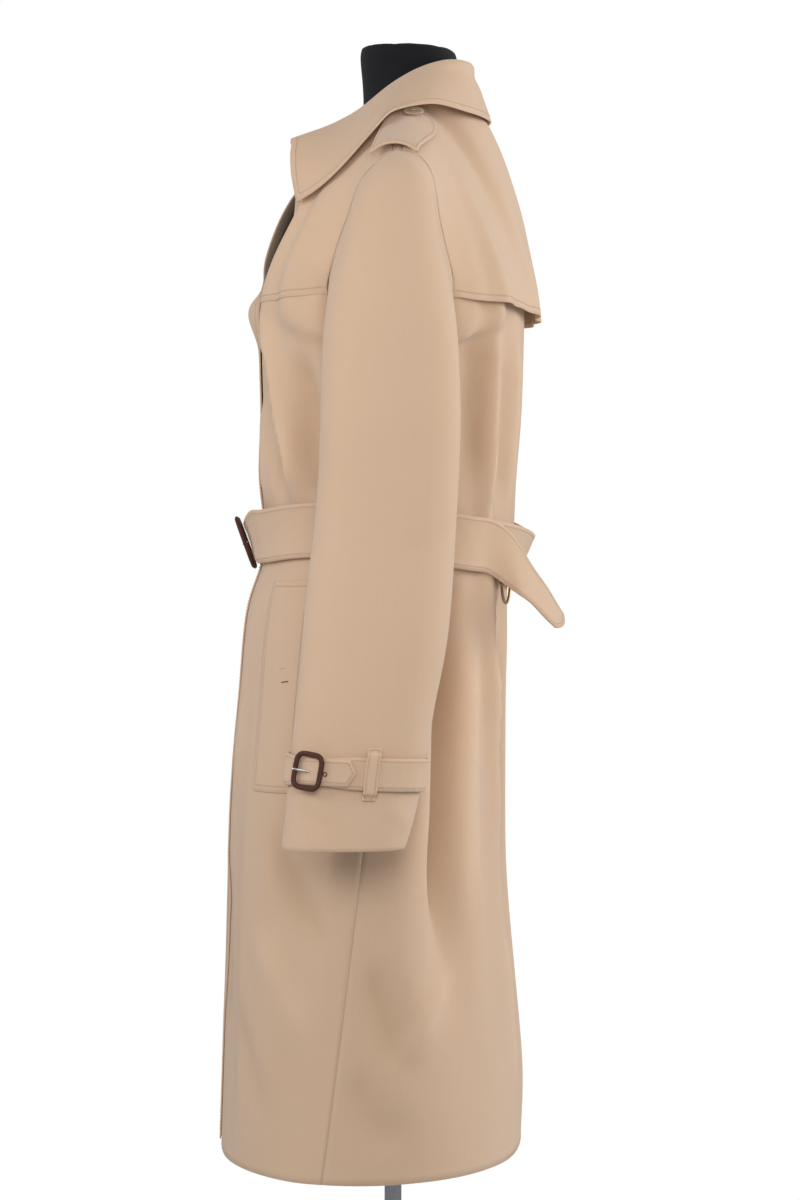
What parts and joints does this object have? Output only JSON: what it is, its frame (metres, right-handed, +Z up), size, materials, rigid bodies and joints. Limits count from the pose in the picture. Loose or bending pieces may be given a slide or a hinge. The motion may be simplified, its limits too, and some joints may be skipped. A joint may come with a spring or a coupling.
{
  "type": "trench coat on dress form",
  "caption": "Knee-length belted trench coat in plain gabardine with cape, storm flap, shoulder and cuff straps, on a limbless dress form with a pole and round base.",
  "frame": {"origin": "centre of the round base's underside, on the pole's axis", "axes": "+Z up; the coat's front faces -Y; the wearer's left is +X"},
  "size_m": [0.6354, 0.3409, 1.4955],
  "materials": {
    "gabardine": "matte cotton gabardine, fine diagonal twill",
    "leather": "dark brown, semi-gloss, stretched over the buckle's frame",
    "button": "marbled horn-like resin, satin",
    "steel": "plain bright",
    "brass": "antique, dull",
    "form_cloth": "black jersey cover",
    "pole_chrome": "polished",
    "base_black": "black powder coat"
  },
  "bodies": {
    "coat_on_form": {"back": "gabardine", "back_cape": "gabardine", "belt": "gabardine", "belt_buckle": "leather", "belt_loop_left": "gabardine", "belt_loop_right": "gabardine", "belt_prong": "steel", "belt_tail": "gabardine", "collar": "gabardine", "collar_stand": "gabardine", "cuff_buckle_left": "leather", "cuff_buckle_right": "leather", "cuff_keeper_left": "gabardine", "cuff_keeper_right": "gabardine", "cuff_prong_left": "steel", "cuff_prong_right": "steel", "cuff_strap_left": "gabardine", "cuff_strap_right": "gabardine", "d_ring_tab": "gabardine", "epaulette_button_left": "button", "epaulette_button_right": "button", "epaulette_left": "gabardine", "epaulette_right": "gabardine", "form_base": "base_black", "form_pole": "pole_chrome", "form_torso": "form_cloth", "front_left": "gabardine", "front_right": "gabardine", "pocket_welt_left": "gabardine", "pocket_welt_right": "gabardine", "storm_flap": "gabardine", "top_sleeve_left": "gabardine", "top_sleeve_right": "gabardine", "under_sleeve_left": "gabardine", "under_sleeve_right": "gabardine"},
    "d_ring": {"d_ring": "brass"}
  },
  "joints": [
    {"name": "d_ring_swing", "type": "hinge", "parent": "coat_on_form", "child": "d_ring", "pos_m": [0.08629, 0.11, 0.96338], "axis": [0.9543, -0.299, 0], "range_deg": [-2, 45]}
  ]
}
